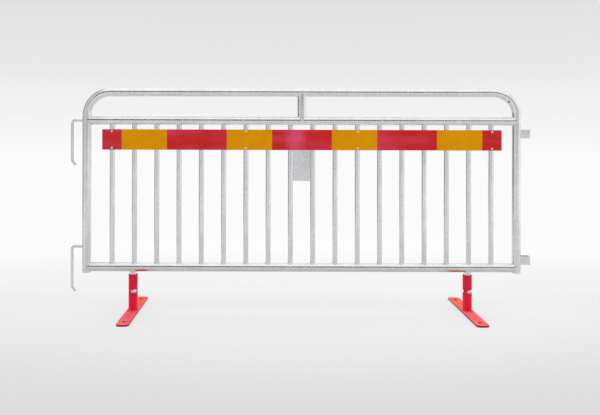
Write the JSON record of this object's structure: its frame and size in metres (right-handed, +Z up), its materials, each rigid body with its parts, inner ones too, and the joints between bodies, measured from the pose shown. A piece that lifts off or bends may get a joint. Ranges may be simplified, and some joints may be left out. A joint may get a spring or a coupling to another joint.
{
  "type": "pedestrian barrier panel",
  "caption": "Galvanised tube barrier panel with upright bars, a red and yellow marker board, hooks and eyes for joining panels, and red feet that swivel in line for stacking.",
  "frame": {"origin": "on the ground, below the middle of the panel and in its plane", "axes": "+Z up; +X along the panel towards the post with the eyes; the marker board faces -Y"},
  "size_m": [2.2608, 0.5, 1.1],
  "materials": {
    "galvanised_steel": "hot-dip galvanised, dull silver grey",
    "board_aluminium": "mill-finish sheet, bare at the back and edges",
    "red_film": "retroreflective film, signal red",
    "yellow_film": "retroreflective film, traffic yellow",
    "rivet_aluminium": "plain domed blind rivets",
    "red_paint": "red powder coat",
    "bolt_steel": "zinc-plated fastener"
  },
  "bodies": {
    "panel": {"frame_loop": "galvanised_steel", "mid_rail": "galvanised_steel", "bottom_rail": "galvanised_steel", "centre_stub": "galvanised_steel", "bar_01": "galvanised_steel", "bar_02": "galvanised_steel", "bar_03": "galvanised_steel", "bar_04": "galvanised_steel", "bar_05": "galvanised_steel", "bar_06": "galvanised_steel", "bar_07": "galvanised_steel", "bar_08": "galvanised_steel", "bar_09": "galvanised_steel", "bar_10": "galvanised_steel", "bar_11": "galvanised_steel", "bar_12": "galvanised_steel", "bar_13": "galvanised_steel", "bar_14": "galvanised_steel", "bar_15": "galvanised_steel", "bar_16": "galvanised_steel", "bar_17": "galvanised_steel", "bar_18": "galvanised_steel", "upper_hook": "galvanised_steel", "lower_hook": "galvanised_steel", "upper_eye": "galvanised_steel", "lower_eye": "galvanised_steel", "centre_plate": "galvanised_steel", "left_foot_stub": "galvanised_steel", "right_foot_stub": "galvanised_steel", "marker_board": "board_aluminium", "red_film_1": "red_film", "yellow_film_1": "yellow_film", "red_film_2": "red_film", "yellow_film_2": "yellow_film", "red_film_3": "red_film", "yellow_film_3": "yellow_film", "red_film_4": "red_film", "yellow_film_4": "yellow_film", "red_film_5": "red_film", "board_rivets": "rivet_aluminium", "left_pivot_bolt": "bolt_steel", "left_pivot_nut": "bolt_steel", "right_pivot_bolt": "bolt_steel", "right_pivot_nut": "bolt_steel"},
    "left_foot": {"left_foot_sleeve": "red_paint", "left_base_bar": "red_paint"},
    "right_foot": {"right_foot_sleeve": "red_paint", "right_base_bar": "red_paint"}
  },
  "joints": [
    {"name": "left_foot_swivel", "type": "hinge", "parent": "panel", "child": "left_foot", "pos_m": [-0.82862, 0, 0], "axis": [0, 0, 1], "range_deg": [-90, 0]},
    {"name": "right_foot_swivel", "type": "hinge", "parent": "panel", "child": "right_foot", "pos_m": [0.81662, 0, 0], "axis": [0, 0, 1], "range_deg": [-90, 0]}
  ]
}
